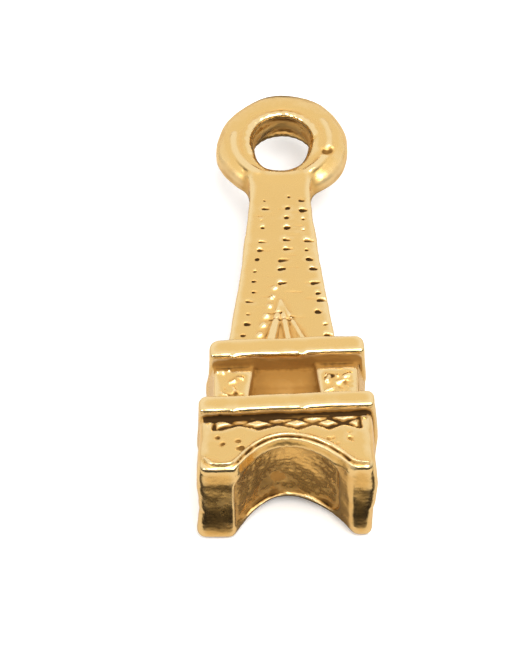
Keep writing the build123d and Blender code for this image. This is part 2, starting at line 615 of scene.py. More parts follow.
    def nodes(self) -> Tests:
        """The roof, the side walls, the piers and the arches.

        Returns:
            The test of each node, by name.
        """
        inner = self.roof.size.x / 2
        deep = self.roof.size.z / 2
        top = self.block.high.y
        found: Tests = {
            "base_roof": lambda x, y, z: (
                (np.abs(x) < inner) & (np.abs(z - self.mid) < deep) & (y < top)
            )
        }
        for side in Side:
            found[side.node("side_wall")] = lambda x, y, z, a=side.value: (
                (a * x >= inner) & (np.abs(z - self.mid) < deep) & (y < top)
            )
            for face in Face:
                pier = side.node(face.node("pier"))
                found[pier] = lambda x, y, z, a=side.value, b=face.value: (
                    (a * x >= inner) & (b * (z - self.mid) >= deep) & (y < top)
                )
        for face in Face:
            found[face.node("arch")] = lambda x, y, z, b=face.value: (
                (np.abs(x) < inner) & (b * (z - self.mid) >= deep) & (y < top)
            )
        return found


@dataclass
class Deck(Member):
    """A flat deck with rounded upper corners and a bright lower lip."""

    name: str
    swell: float
    corner: float  # rounding of the upper corners
    lean: float  # rise to the right, as a share of the width
    shift: float  # to the right
    wider: float
    edge: float = 0.2  # rounding of every other edge
    ripple: float = 0.012  # of the deck's line
    beads: tuple[float, ...] = (0.8, -2.4)

    def shape(self, metal: Field) -> None:
        """The deck's slab, its line a little out of level as cast.

        Args:
            metal: the field of the casting.
        """
        half = self.block.size / 2
        centre = self.block.middle

        def slab(x: Array, y: Array, z: Array) -> Array:
            """The slab, with a larger rounding at its upper corners.

            Args:
                x, y, z: the places, in millimetres.

            Returns:
                The signed distance, below zero inside.
            """
            flank = np.clip(1.0 - np.abs(z - centre.z) / half.z, 0.0, 1.0)
            across = np.abs(x - self.shift) - half.x - self.wider + self.swell * (1.0 - flank)
            ripple = self.ripple * np.sin(2.1 * x + self.corner * 9)
            level = y - centre.y - self.lean * x - ripple
            radius = np.where(level > 0, self.corner, self.edge)
            outline = rounded(radius, across, np.abs(level) - half.y)
            return rounded(self.edge, outline, np.abs(z - centre.z) - half.z)

        metal.join(*self.spread(), slab, 0.1)

    def detail(self, metal: Field, rng: np.random.Generator) -> None:
        """A few beads of metal along the lower lip.

        Args:
            metal: the field of the casting.
            rng: gives the places and sizes.
        """
        for face in Face:
            for x in self.beads:
                y = self.block.low.y + self.lean * x + 0.02
                z = self.level(face, self.block.size.z / 2 - 0.1)
                size = rng.uniform(0.08, 0.13)
                metal.stroke((x, y, z), (x + 0.12, y, z), (size, size * 0.6, 1), True, 0.08)

    def nodes(self) -> Tests:
        """The deck itself."""
        low, high = self.block.low.y, self.block.high.y
        return {self.name: lambda x, y, z: (y >= low) & (y < high) & (np.abs(x) < EVERYWHERE)}


@dataclass
class MidStorey(Member):
    """The storey between the decks: a core with four posts standing proud of it."""

    core: Block
    swell: float = 0.42
    flare: float = 0.1
    edge: float = 0.16
    recess_half: tuple[float, float] = (1.72, 1.42)  # at the bottom and the top
    recess_shift: float = -0.03
    ledge: float = 0.22  # how much shallower the recess is in its upper part
    ledge_from: float = 0.62  # where that part starts, as a share of the height
    slot_height: float = 0.55  # of the slot between the posts and the upper deck
    slot_depth: float = 0.34
    slot_lean: float = 0.03
    marks_a_post: int = 16

    def half_depth(self, y: Array) -> Array:
        """Half the depth over the posts."""
        share = (y - self.block.low.y) / self.block.size.y
        return mix(self.block.size.z / 2, self.block.size.z / 2 - self.flare, share)

    def shape(self, metal: Field) -> None:
        """The storey, with a recess in its front and back.

        Args:
            metal: the field of the casting.
        """
        low, high, centre = self.block.low.y, self.block.high.y, self.block.middle
        core_half = self.core.size.z / 2

        def body(x: Array, y: Array, z: Array) -> Array:
            """The outside, with the recesses taken out.

            Args:
                x, y, z: the places, in millimetres.

            Returns:
                The signed distance, below zero inside.
            """
            depth = self.half_depth(y)
            away = np.abs(z - self.mid)
            flank = np.clip(1.0 - away / depth, 0.0, 1.0)
            across = np.abs(x) - self.block.size.x / 2 + self.swell * (1.0 - flank)
            ends = np.abs(y - centre.y) - self.block.size.y / 2 - 0.25
            outside = rounded(self.edge, across, away - depth, ends)
            share = (y - low) / (high - low)
            step = 0.5 + 0.5 * np.tanh((share - self.ledge_from) / 0.05)
            back = core_half + self.ledge * step
            sides = np.abs(x - self.recess_shift) - mix(*self.recess_half, share)
            recess = rounded(0.14, sides, back - away, np.abs(y - centre.y) - 1.4)
            over = y - high + self.slot_height / 2 - self.slot_lean * x
            slot = rounded(
                0.1,
                np.abs(x) - self.block.size.x / 2 + 0.3,
                depth - self.slot_depth - away,
                np.abs(over) - self.slot_height / 2,
            )
            outside = soft_max(outside, -slot, 0.1)
            return soft_max(outside, -recess, 0.12)

        metal.join(*self.spread(0.3), body, 0.14)

    def detail(self, metal: Field, rng: np.random.Generator) -> None:
        """Crumpled marks over the faces of the posts.

        Args:
            metal: the field of the casting.
            rng: gives the places and sizes.
        """
        for face, side in ((face, side) for face in Face for side in Side):
            for step in range(self.marks_a_post):
                x = side.value * rng.uniform(1.85, 3.05)
                y = self.block.low.y + rng.uniform(0.3, self.block.size.y - 0.2)
                z = self.level(face, float(self.half_depth(y)) + 0.03)
                turn = rng.uniform(-0.3, 0.3)
                end = (x + side.value * rng.uniform(0.1, 0.4), y + turn, z)
                size = rng.uniform(0.07, 0.12)
                metal.stroke((x, y, z), end, (size, size * 0.6, 1), step % 3 == 0, 0.06)

    def nodes(self) -> Tests:
        """The core and the four posts.

        Returns:
            The test of each node, by name.
        """
        low, high, core_half = self.block.low.y, self.block.high.y, self.core.size.z / 2
        found: Tests = {
            "mid_core": lambda x, y, z: (
                (y >= low) & (y < high) & (np.abs(z - self.mid) < core_half) & (x < EVERYWHERE)
            )
        }
        for side, face in ((side, face) for side in Side for face in Face):
            post = side.node(face.node("mid_post"))
            found[post] = lambda x, y, z, a=side.value, b=face.value: (
                (y >= low) & (y < high) & (b * (z - self.mid) >= core_half) & (a * x >= 0)
            )
        return found


@dataclass
class Shaft(Member):
    """The tapering shaft with ribs fanning over its foot."""

    neck: Block
    ribs: Block
    bow: float = 0.075
    edge: float = 0.17
    shift: float = -0.12  # to the right
    wider: float = 0.05
    # for each rib: its foot's place across the face, its radius there and how proud it is
    rib_feet: tuple[Point, ...] = ((-0.22, 0.3, 0.05), (0.13, 0.2, 0.05), (0.44, 0.14, 0.07))
    beads: int = 6
    # for each column of pits: its place across the foot and the top, and the size of its pits
    pit_columns: tuple[Point, ...] = ((-0.8, -0.5, 0.8), (-0.3, 0.3, 1.0), (0.84, 0.66, 1.0))
    middle_column: int = 1  # the one that starts above the ribs
    rows: int = 14
    creases: int = 30

    def share(self, y: Array | float) -> Array | float:
        """How far up the shaft y is, from 0 at the deck to 1 at the neck."""
        return np.clip((y - self.block.low.y) / self.block.size.y, 0.0, 1.0)

    def half_width(self, y: Array | float) -> Array | float:
        """Half the width, whose sides are slightly hollow.

        Args:
            y: the level along the tower.

        Returns:
            Half the width, in millimetres.
        """
        share = self.share(y)
        straight = mix(self.block.size.x / 2, self.neck.size.x / 2, share)
        return straight - self.bow * 4.0 * share * (1.0 - share)

    def half_depth(self, y: Array | float) -> Array | float:
        """Half the depth."""
        return mix(self.block.size.z / 2, self.neck.size.z / 2, self.share(y))

    def shape(self, metal: Field) -> None:
        """The shaft and the neck above it.

        Args:
            metal: the field of the casting.
        """

        def body(x: Array, y: Array, z: Array) -> Array:
            """The shaft, running down into the deck and up into the eye.

            Args:
                x, y, z: the places, in millimetres.

            Returns:
                The signed distance, below zero inside.
            """
            across = np.abs(x - self.shift) - self.half_width(y) - self.wider
            through = np.abs(z - self.mid) - self.half_depth(y)
            ends = np.maximum(self.block.low.y - 0.3 - y, y - self.neck.high.y)
            return rounded(self.edge, across, through, ends)

        low, high = self.spread(0.4)
        high.y = self.neck.high.y + MARGIN
        metal.join(low, high, body, 0.1)

    def detail(self, metal: Field, rng: np.random.Generator) -> None:
        """The ribs, the columns of pits and the fine cracks of each face.

        Args:
            metal: the field of the casting.
            rng: gives the places and sizes.
        """
        for face in Face:
            self.fan(metal, face)
            self.columns(metal, face, rng)
            self.cracks(metal, face, rng)

    def on_face(self, across: float, up: float, face: Face, rise: float) -> Point:
        """A point on the front or back face.

        Args:
            across: place between the middle, 0, and the right edge, 1.
            up: height above the upper deck.
            face: the face that it is on.
            rise: how far it stands out of the face.

        Returns:
            The point, in millimetres.
        """
        y = self.block.low.y + up
        x = self.shift + across * float(self.half_width(y))
        return (x, y, self.level(face, float(self.half_depth(y)) + rise))

    def fan(self, metal: Field, face: Face) -> None:
        """Three ribs spreading from one point to the deck, and a row of beads beside them.

        Args:
            metal: the casting.
            face: the face that they are on.
        """
        tip = self.on_face(-0.02, self.ribs.size.y, face, -0.03)
        for across, radius, rise in self.rib_feet:
            foot = self.on_face(across, 0.1, face, rise - radius * 0.5)
            metal.stroke(tip, foot, (0.08, radius, 0.8), True, 0.06)
        for step in range(self.beads):
            up = 0.75 + 0.62 * step
            across = -0.42 + 0.055 * step
            bead = self.on_face(across, up, face, -0.04)
            end = self.on_face(across - 0.07, up - 0.14, face, -0.06)
            metal.stroke(bead, end, (0.17, 0.12, 1.0), True, 0.06)

    def columns(self, metal: Field, face: Face, rng: np.random.Generator) -> None:
        """Three columns of pits that spread with the shaft.

        Args:
            metal: the casting.
            face: the face that they are in.
            rng: gives the sizes and the small shifts.
        """
        above_ribs = self.ribs.size.y + 0.9
        for column, (foot_across, top_across, width) in enumerate(self.pit_columns):
            for row in range(self.rows):
                share = (row + 0.5 + rng.uniform(-0.2, 0.2)) / self.rows
                up = 0.35 + share * (self.block.size.y - 0.2)
                if column == self.middle_column and up < above_ribs:
                    continue
                across = mix(foot_across, top_across, share) + rng.uniform(-0.05, 0.05)
                size = width * rng.uniform(0.065, 0.125)
                long = rng.uniform(0.0, 0.22)
                a = self.on_face(across, up, face, -0.03)
                b = self.on_face(across + long, up + rng.uniform(-0.05, 0.05), face, 0.0)
                metal.stroke(a, b, (size, size * 0.6, 0.7), False, 0.03)
                if rng.random() < 0.45:
                    lip = self.on_face(across, up + size + 0.06, face, -0.05)
                    metal.stroke(lip, lip, (0.1, 0.1, 1.0), True, 0.07)

    def cracks(self, metal: Field, face: Face, rng: np.random.Generator) -> None:
        """Short shallow creases across the face.

        Args:
            metal: the casting.
            face: the face that they are in.
            rng: gives the places.
        """
        for _ in range(self.creases):
            across = rng.uniform(-0.8, 0.6)
            up = rng.uniform(0.6, self.block.size.y)
            for step in range(3):
                a = self.on_face(across + 0.1 * step, up + 0.03 * (step % 2), face, 0.03)
                b = self.on_face(across + 0.1 * (step + 1), up + 0.03 * (1 - step % 2), face, 0.03)
                metal.stroke(a, b, (0.06, 0.065, 1.0), False, 0.04)

    def nodes(self) -> Tests:
        """The neck, the ribs proud of each face, and the shaft itself.

        Returns:
            The test of each node, by name.
        """
        low, high = self.block.low.y, self.block.high.y
        found: Tests = {
            "ring_neck": lambda x, y, z: (
                (y >= high) & (y < self.neck.high.y) & (np.abs(x) < self.neck.size.x / 2)
            )
        }
        for face in Face:
            found[face.node("shaft_ribs")] = lambda x, y, z, b=face.value: (
                (y >= low)
                & (y < low + self.ribs.size.y)
                & (b * (z - self.mid) > self.half_depth(y))
                & (np.abs(x / self.half_width(y) - 0.1) < 0.45)
            )
        found["spire_shaft"] = lambda x, y, z: (y >= low) & (y < high) & (np.abs(x) < EVERYWHERE)
        return found


@dataclass
class HangingEye(Member):
    """The round eye that the charm hangs from."""

    bore_at: Vector
    bore_radius: float
    bore_stretch: float = 1.27  # along the tower
    bore_flare: float = 0.3
    edge: float = 0.66
    flatness: float = 0.6  # how slowly the faces fall away to the rim
    # for each ridge: its ends in degrees, its distance from the bore and how proud it is
    ridges: tuple[tuple[float, float, float, float], ...] = (
        (15.0, 205.0, 0.33, 0.05),
        (170.0, 240.0, 0.95, 0.07),
        (-60.0, 30.0, 0.95, 0.07),
    )
    dent: tuple[float, float] = (-0.35, 2.35)  # its angle and its distance from the bore's middle
    steps_a_ridge: int = 14

    def shape(self, metal: Field) -> None:
        """The eye, a little uneven as cast, with its oval bore.

        Args:
            metal: the field of the casting.
        """
        radius = self.block.size.x / 2
        centre_y = self.block.high.y - radius
        half = self.block.size.z / 2

        def wobble(angle: Array) -> Array:
            """How far the outline leaves a circle.

            Args:
                angle: the direction from the middle of the eye.

            Returns:
                The amount, in millimetres.
            """
            turned = angle - math.radians(140.0)
            lobes = -0.07 * np.cos(turned) - 0.09 * np.cos(3 * turned) + 0.02 * np.sin(8 * angle)
            return lobes + 0.1 * np.clip(np.sin(angle), 0.0, 1.0)

        def ring(x: Array, y: Array, z: Array) -> Array:
            """The disc without its bore.

            Args:
                x, y, z: the places, in millimetres.

            Returns:
                The signed distance, below zero inside.
            """
            angle = np.arctan2(y - centre_y, x)
            out = np.hypot(x, y - centre_y) - radius + 0.02 - wobble(angle)
            through = np.abs(z - self.mid) - half - 0.035 * np.sin(2 * angle + 1.0)
            return rounded(self.edge, out * self.flatness, through)

        def bore(x: Array, y: Array, z: Array) -> Array:
            """The bore, longer along the tower than across it.

            Args:
                x, y, z: the places, in millimetres.

            Returns:
                The signed distance, below zero inside.
            """
            up = (y - self.bore_at.y) / self.bore_stretch
            angle = np.arctan2(up, x)
            wide = 1.0 + 0.03 * np.sin(2 * angle + 0.4) + 0.02 * np.sin(5 * angle)
            flare = self.bore_flare * np.clip(np.abs(z - self.mid) / half, 0.0, 1.0) ** 2
            return np.hypot(x, up) - self.bore_radius * wide - flare + 0.07

        metal.join(*self.spread(), ring, 0.38)
        metal.cut(*self.spread(), bore, 0.24)

    def detail(self, metal: Field, rng: np.random.Generator) -> None:
        """The raised lip round the bore, and dents in the rim.

        Args:
            metal: the field of the casting.
            rng: not used.
        """
        half = self.block.size.z / 2
        angle, out = self.dent
        x, y = out * math.cos(angle), self.bore_at.y + out * math.sin(angle)
        for face in Face:
            for start, end, away, proud in self.ridges:
                self.ridge(metal, (start, end), away, self.level(face, half + proud - 0.16))
            a = (x, y, self.level(face, half + 0.14))
            b = (x + 0.2, y + 0.1, self.level(face, half + 0.1))
            metal.stroke(a, b, (0.2, 0.14, 0.8), False, 0.24)

    def ridge(self, metal: Field, span: tuple[float, float], away: float, z: float) -> None:
        """A low ridge that follows the bore.

        Args:
            metal: the casting.
            span: its two ends, in degrees round the bore.
            away: distance from the edge of the bore.
            z: the height of its middle.
        """
        radius = self.bore_radius + away
        points = []
        for step in range(self.steps_a_ridge + 1):
            turn = math.radians(mix(*span, step / self.steps_a_ridge))
            y = self.bore_at.y + 1.05 * radius * math.sin(turn)
            points.append((radius * math.cos(turn), y, z))
        for a, b in zip(points, points[1:]):
            metal.stroke(a, b, (0.16, 0.16, 1.0), True, 0.16)

    def nodes(self) -> Tests:
        """All the metal that is left is the eye's.

        Returns:
            The test of each node, by name.
        """
        return {
            "hanging_eye_ring": lambda x, y, z: (
                (x < EVERYWHERE) & (y < EVERYWHERE) & (z < EVERYWHERE)
            )
        }


# The skin of the casting -----------------------------------------------------------------


class Skin:
    """The surface between the metal and the air, and between one piece and the next."""

    STEPS = np.array([(1, 0, 0), (0, 1, 0), (0, 0, 1)])
    WAVES = 30  # summed at each wavelength

    def __init__(self, metal: Field, owner: Array) -> None:
        """Finds the surface.

        Args:
            metal: the casting.
            owner: for each sample, the number of its piece, or 0 in the air.
        """
        self.metal = metal
        self.owner = owner
        self.points = self.place_points()
        self.quads, self.inner, self.outer = self.join_points()
        self.open = (self.inner == 0) | (self.outer == 0)
        self.facing = np.where(self.inner[:, None] == 0, self.quads[:, ::-1], self.quads)
        self.points = self.relaxed(self.points, 1, 0.5)
        self.normals = self.point_normals()

    def place_points(self) -> Array:
        """One point in each cell that a surface crosses.

        Returns:
            The points, and sets self.cells to each cell's point number, or -1.
        """
        owner = self.owner
        corner = owner[:-1, :-1, :-1]
        mixed = np.zeros(corner.shape, bool)
        offsets = [(i, j, k) for i in (0, 1) for j in (0, 1) for k in (0, 1)]
        views = {}
        for i, j, k in offsets:
            ends = [dim - 1 + step for dim, step in zip(owner.shape, (i, j, k))]
            views[i, j, k] = owner[i : ends[0], j : ends[1], k : ends[2]]
            mixed |= views[i, j, k] != corner
        self.cells = np.full(corner.shape, -1, np.int64)
        where = np.argwhere(mixed)
        self.cells[mixed] = np.arange(len(where))
        total, count = np.zeros((len(where), 3)), np.zeros(len(where))
        for axis in range(3):
            for offset in offsets:
                if offset[axis]:
                    continue
                a = where + np.array(offset)
                b = a + self.STEPS[axis]
                va, vb = self.metal.value[tuple(a.T)], self.metal.value[tuple(b.T)]
                crosses = (va < 0) != (vb < 0)
                share = np.where(crosses, va / np.where(crosses, va - vb, 1.0), 0.0)
                place = np.array(offset, float) + share[:, None] * self.STEPS[axis]
                total += place * crosses[:, None]
                count += crosses
        local = np.where(count[:, None] > 0, total / np.maximum(count, 1)[:, None], 0.5)
        self.on_skin = count > 0
        origin = np.array([axis[0] for axis in self.metal.axes])
        return origin + (where + local) * self.metal.pitch

    def join_points(self) -> tuple[Array, Array, Array]:
        """A quad across each edge of the grid whose ends have different owners.

        Returns:
            The quads, and the owners on their inner and outer sides. Each quad turns
            anticlockwise when seen from its outer side.
        """
        quads, inner, outer = [], [], []
        for axis in range(3):
            b, c = (axis + 1) % 3, (axis + 2) % 3
            low = [slice(1, -1)] * 3
            high = [slice(1, -1)] * 3
            low[axis], high[axis] = slice(0, -1), slice(1, None)
            first, second = self.owner[tuple(low)], self.owner[tuple(high)]
            where = np.argwhere(first != second)
            shift = np.ones(3, int)
            shift[axis] = 0
            at = where + shift
            ring = []
            for back_b, back_c in ((1, 1), (0, 1), (0, 0), (1, 0)):
                cell = at.copy()
                cell[:, b] -= back_b
                cell[:, c] -= back_c
                ring.append(self.cells[tuple(cell.T)])
            quads.append(np.stack(ring, 1))
            inner.append(first[tuple(where.T)])
            outer.append(second[tuple(where.T)])
        return np.concatenate(quads), np.concatenate(inner), np.concatenate(outer)

    def relaxed(self, points: Array, rounds: int, strength: float) -> Array:
        """The points moved towards the middle of their neighbours on the outer surface.

        Args:
            points: where they are now.
            rounds: how many times they move.
            strength: how far they move each time, 1 being all the way.

        Returns:
            The points' new places.
        """
        quads = self.quads[self.open]
        a = quads.ravel()
        b = np.roll(quads, -1, axis=1).ravel()
        count = np.bincount(a, minlength=len(points)) + np.bincount(b, minlength=len(points))
        for _ in range(rounds):
            total = np.stack(
                [
                    np.bincount(a, points[b, i], len(points))
                    + np.bincount(b, points[a, i], len(points))
                    for i in range(3)
                ],
                1,
            )
            middle = np.where(count[:, None] > 0, total / np.maximum(count, 1)[:, None], points)
            points = points + strength * (middle - points)
        return points

    def point_normals(self) -> Array:
        """The outward direction of the outer surface at each point.

        Returns:
            A unit vector for each point.
        """
        quads = self.facing[self.open]
        corners = self.points[quads]
        area = np.cross(corners[:, 2] - corners[:, 0], corners[:, 3] - corners[:, 1])
        total = np.stack(
            [
                sum(np.bincount(quads[:, k], area[:, i], len(self.points)) for k in range(4))
                for i in range(3)
            ],
            1,
        )
        length = np.linalg.norm(total, axis=1, keepdims=True)
        return total / np.maximum(length, 1e-12)

    def roughen(
        self,
        rng: np.random.Generator,
        marks: Sequence[tuple[float, float]],
        coarse: Callable[[Array], Array],
    ) -> None:
        """Moves the outer surface in and out by smooth noise, as a mould's wall is uneven.

        Args:
            rng: gives the waves.
            marks: pairs of wavelength and height.
            coarse: for points, how much more the shortest waves are there.
        """
        more = coarse(self.points)
        lift = np.zeros(len(self.points))
        for wavelength, height in marks:
            turn = rng.normal(size=(self.WAVES, 3))
            spread = rng.uniform(0.7, 1.4, (self.WAVES, 1))
            turn *= 2 * math.pi / wavelength * spread / np.linalg.norm(turn, axis=1, keepdims=True)
            phase = rng.uniform(0, 2 * math.pi, self.WAVES)
            total = np.sin(self.points @ turn.T + phase).sum(1)
            extra = more * (0.3 if wavelength < 0.5 else 0.16)
            lift += height * (1.0 + extra) * total / math.sqrt(self.WAVES / 2)
        lift[~self.on_skin] = 0.0
        self.points = self.points + self.normals * lift[:, None]
        self.normals = self.point_normals()

    def hollowness(self, rounds: int) -> Array:
        """How far each point lies under the evened surface.

        Args:
            rounds: how many times the surface is evened.

        Returns:
            The depth of each point, below zero on edges.
        """
        even = self.relaxed(self.points, rounds, 1.0)
        return ((even - self.points) * self.normals).sum(1)

    def shelter(self, reaches: Sequence[float]) -> Array:
        """How far the metal round each point closes it in.

        Args:
            reaches: distances out from the surface at which to look.

        Returns:
            0 for a point in the open, rising towards 1 deep in a groove.
        """
        closed = np.zeros(len(self.points))
        for reach in reaches:
            gap = self.metal.at(self.points + self.normals * reach)
            closed += 1.0 - np.clip(gap / reach, 0.0, 1.0)
        return closed / len(reaches)

    def piece(self, number: int) -> tuple[Array, Array, Array, Array]:
        """One piece's own closed surface.

        Args:
            number: the piece's number.

        Returns:
            Its points, its quads turned outwards, which quads are on the outside of the
            casting, and the numbers of its points in the whole skin.
        """
        own, other = self.inner == number, self.outer == number
        quads = np.concatenate([self.quads[own], self.quads[other][:, ::-1]])
        outside = np.concatenate([self.open[own], self.open[other]])
        used, local = np.unique(quads, return_inverse=True)
        return self.points[used], local.reshape(quads.shape), outside, used


# Shader maths ----------------------------------------------------------------------------


@dataclass
class Value:
    """A number worked out in a material, used as in plain arithmetic."""

    sheet: "NodeSheet"
    socket: bpy.types.NodeSocket

    def _math(self, operation: str, *terms: "Value | float") -> "Value":
        """A Math node on the given terms."""
        return self.sheet.value("ShaderNodeMath", {"operation": operation}, dict(enumerate(terms)))

    def __add__(self, other: "Value | float") -> "Value":
        """This plus other."""
        return self._math("ADD", self, other)

    def __radd__(self, other: float) -> "Value":
        """Other plus this."""
        return self._math("ADD", other, self)

    def __sub__(self, other: "Value | float") -> "Value":
        """This less other."""
        return self._math("SUBTRACT", self, other)

    def __rsub__(self, other: float) -> "Value":
        """Other less this."""
        return self._math("SUBTRACT", other, self)

    def __mul__(self, other: "Value | float") -> "Value":
        """This times other."""
        return self._math("MULTIPLY", self, other)

    def __rmul__(self, other: float) -> "Value":
        """Other times this."""
        return self._math("MULTIPLY", other, self)

    def held(self) -> "Value":
        """This held between 0 and 1."""
        return self._math("MINIMUM", self._math("MAXIMUM", self, 0.0), 1.0)


class NodeSheet:
    """The nodes of one material or world."""

    def __init__(self, tree: bpy.types.NodeTree) -> None:
        """Starts with an empty tree."""
        self.tree = tree
        tree.nodes.clear()

    def node(
        self,
        kind: str,
        settings: dict[str, object] | None = None,
        inputs: dict[str | int, object] | None = None,
    ) -> bpy.types.Node:
        """Adds a node.

        Args:
            kind: the node's type.
            settings: its properties.
            inputs: a number, colour, Value or socket for each named or numbered input.

        Returns:
            The node.
        """
        made = self.tree.nodes.new(kind)
        for name, setting in (settings or {}).items():
            setattr(made, name, setting)
        for name, given in (inputs or {}).items():
            socket = made.inputs[name]
            if isinstance(given, Value):
                self.tree.links.new(given.socket, socket)
            elif isinstance(given, bpy.types.NodeSocket):
                self.tree.links.new(given, socket)
            else:
                socket.default_value = given
        return made

    def value(
        self,
        kind: str,
        settings: dict[str, object] | None = None,
        inputs: dict[str | int, object] | None = None,
        output: str | int = 0,
    ) -> Value:
        """Adds a node, and gives one of its outputs as a Value.

        Args:
            kind: the node's type.
            settings: its properties.
            inputs: a number, colour, Value or socket for each named or numbered input.
            output: the name or number of the output.

        Returns:
            That output.
        """
        return Value(self, self.node(kind, settings, inputs).outputs[output])

    def attribute(self, name: str) -> Value:
        """A number that the mesh holds for each of its points."""
        return self.value("ShaderNodeAttribute", {"attribute_name": name}, output="Fac")

    def pattern(self, place: bpy.types.NodeSocket, scale: float, detail: float) -> Value:
        """Smooth noise over the piece, about 0.5."""
        inputs = {"Vector": place, "Scale": scale, "Detail": detail}
        return self.value("ShaderNodeTexNoise", {}, inputs)

    def blend(self, share: Value, low: object, high: object) -> bpy.types.NodeSocket:
        """A colour between low and high.

        Args:
            share: 0 for low and 1 for high.
            low: a colour or a socket.
            high: a colour or a socket.

        Returns:
            The mixed colour's socket.
        """
        made = self.node("ShaderNodeMix", {"data_type": "RGBA"})
        self.tree.links.new(share.socket, made.inputs["Factor"])
        for name, given in (("A", low), ("B", high)):
            socket = next(s for s in made.inputs if s.name == name and s.type == "RGBA")
            if isinstance(given, bpy.types.NodeSocket):
                self.tree.links.new(given, socket)
            else:
                socket.default_value = (*given, 1.0)
        return next(s for s in made.outputs if s.type == "RGBA")


# Finishes --------------------------------------------------------------------------------


@dataclass(frozen=True)
class GoldPlating:
    """Thin warm gold over a cast alloy: satin on the faces, bright on the edges."""

    name: str
    face: tuple[float, float, float] = (0.82, 0.555, 0.215)
    thin: tuple[float, float, float] = (0.97, 0.93, 0.84)  # the face's tint where it is thinner
    edge: tuple[float, float, float] = (0.95, 0.77, 0.45)
    # where the metal is stained or closed in: partly a real stain, partly painted shade
    hollow: tuple[float, float, float] = (0.31, 0.138, 0.02)
    # near black in deep creases where the metal closes in: painted shade
    painted_crevice_shade: tuple[float, float, float] = (0.03, 0.014, 0.004)
    satin: float = 0.25  # roughness of the faces
    bright: float = 0.19  # of the edges
    raw: float = 0.85  # of what the polishing wheel didn't reach
    dulling: float = 0.75  # how much of the metal's shine the stain and painted shade take
    sheen: float = 0.12
    grain: float = 0.16
    grain_depth: float = 0.00002
    cloud_scale: float = 900.0
    speck_scale: float = 5200.0
    fine_scale: float = 16000.0

    def material(self) -> bpy.types.Material:
        """Builds the material, with painted shade in its grooves and where the metal closes in.

        Returns:
            The material, which reads two attributes of the mesh: hollow, which is 0.5 on
            flat faces, less on edges and more in hollows, and shelter, which rises from 0
            in the open towards 1 where the metal closes in.
        """
        made = bpy.data.materials.new(self.name)
        made.use_nodes = True
        sheet = NodeSheet(made.node_tree)
        place = sheet.node("ShaderNodeTexCoord").outputs["Object"]
        hollow, shelter = sheet.attribute("hollow"), sheet.attribute("shelter")
        cloud = sheet.pattern(place, self.cloud_scale, 3.0)
        speck = sheet.pattern(place, self.speck_scale, 4.0)
        fine = sheet.pattern(place, self.fine_scale, 2.0)
        in_groove = ((hollow - 0.56) * 3.4 + (speck - 0.5) * 0.5).held()
        # closed_in follows shelter, an ambient-occlusion measure, so what it darkens is painted
        # shade
        closed_in = ((shelter - 0.1) * 1.9 + (cloud - 0.5) * 0.5).held()
        # darker and duller in grooves and closed-in places: partly stain, partly painted shade
        stain_and_shade = (in_groove * 0.68 + closed_in * 0.95).held()
        # near-black painted shade in grooves where the metal also closes in
        deep = (in_groove * closed_in * 1.9 - 0.15).held()
        on_edge = ((0.43 - hollow) * 4.0).held()
        thin = tuple(part * tint for part, tint in zip(self.face, self.thin))
        colour = sheet.blend((cloud * 0.6 + speck * 0.4).held(), self.face, thin)
        colour = sheet.blend(stain_and_shade * 0.92, colour, self.hollow)
        colour = sheet.blend(deep * 0.92, colour, self.painted_crevice_shade)
        colour = sheet.blend(on_edge * 0.55, colour, self.edge)
        rough = self.satin + stain_and_shade * (self.raw - self.satin)
        rough = rough - on_edge * (self.satin - self.bright) + (speck - 0.5) * 0.14
        height = (speck * 0.65 + fine * 0.35 - 0.5) * (1.0 + stain_and_shade * 4.0)
        relief = {"Strength": self.grain, "Distance": self.grain_depth, "Height": height}
        bump = sheet.node("ShaderNodeBump", inputs=relief)
        shader = sheet.node(
            "ShaderNodeBsdfPrincipled",
            inputs={
                "Base Color": colour,
                "Metallic": 1.0 - stain_and_shade * self.dulling,
                "Roughness": rough.held(),
                "Normal": bump.outputs["Normal"],
                "Specular IOR Level": self.sheen,
            },
        )
        sheet.node("ShaderNodeOutputMaterial", inputs={"Surface": shader.outputs["BSDF"]})
        return made


@dataclass(frozen=True)
class TableTop:
    """A plain pale surface under the charm."""

    name: str
    tone: float
    height: float = 0.0  # in millimetres
    glow: float = 0.14  # a little light of its own, which keeps it evenly pale
    half: float = 3.0  # half its width, in metres
    grain_scale: float = 400.0

    def lay(self) -> bpy.types.Object:
        """Builds the surface and its finish.

        Returns:
            The surface.
        """
        level = self.height / MM
        signs = ((-1, -1), (1, -1), (1, 1), (-1, 1))
        corners = [(self.half * x, self.half * y, level) for x, y in signs]
        mesh = bpy.data.meshes.new(f"{self.name}_top")
        mesh.from_pydata(corners, [], [(0, 1, 2, 3)])
        paper = bpy.data.materials.new(f"{self.name}_paper")
        paper.use_nodes = True
        sheet = NodeSheet(paper.node_tree)
        place = sheet.node("ShaderNodeTexCoord").outputs["Object"]
        shader = sheet.node(
            "ShaderNodeBsdfPrincipled",
            inputs={
                "Base Color": self.colour(sheet, place),
                "Roughness": 0.8,
                "Specular IOR Level": 0.1,
                "Emission Color": (1.0, 1.0, 1.0, 1.0),
                "Emission Strength": self.glow,
            },
        )
        sheet.node("ShaderNodeOutputMaterial", inputs={"Surface": shader.outputs["BSDF"]})
        mesh.materials.append(paper)
        made = bpy.data.objects.new(self.name, mesh)
        bpy.context.scene.collection.objects.link(made)
        return made

    def colour(self, sheet: NodeSheet, place: bpy.types.NodeSocket) -> bpy.types.NodeSocket:
        """The surface's colour.

        Args:
            sheet: where its nodes go.
            place: the place on the surface.

        Returns:
            The colour's socket.
        """
        grain = sheet.pattern(place, self.grain_scale, 3.0)
        return sheet.blend(grain, (self.tone * 0.97,) * 3, (self.tone * 1.02,) * 3)


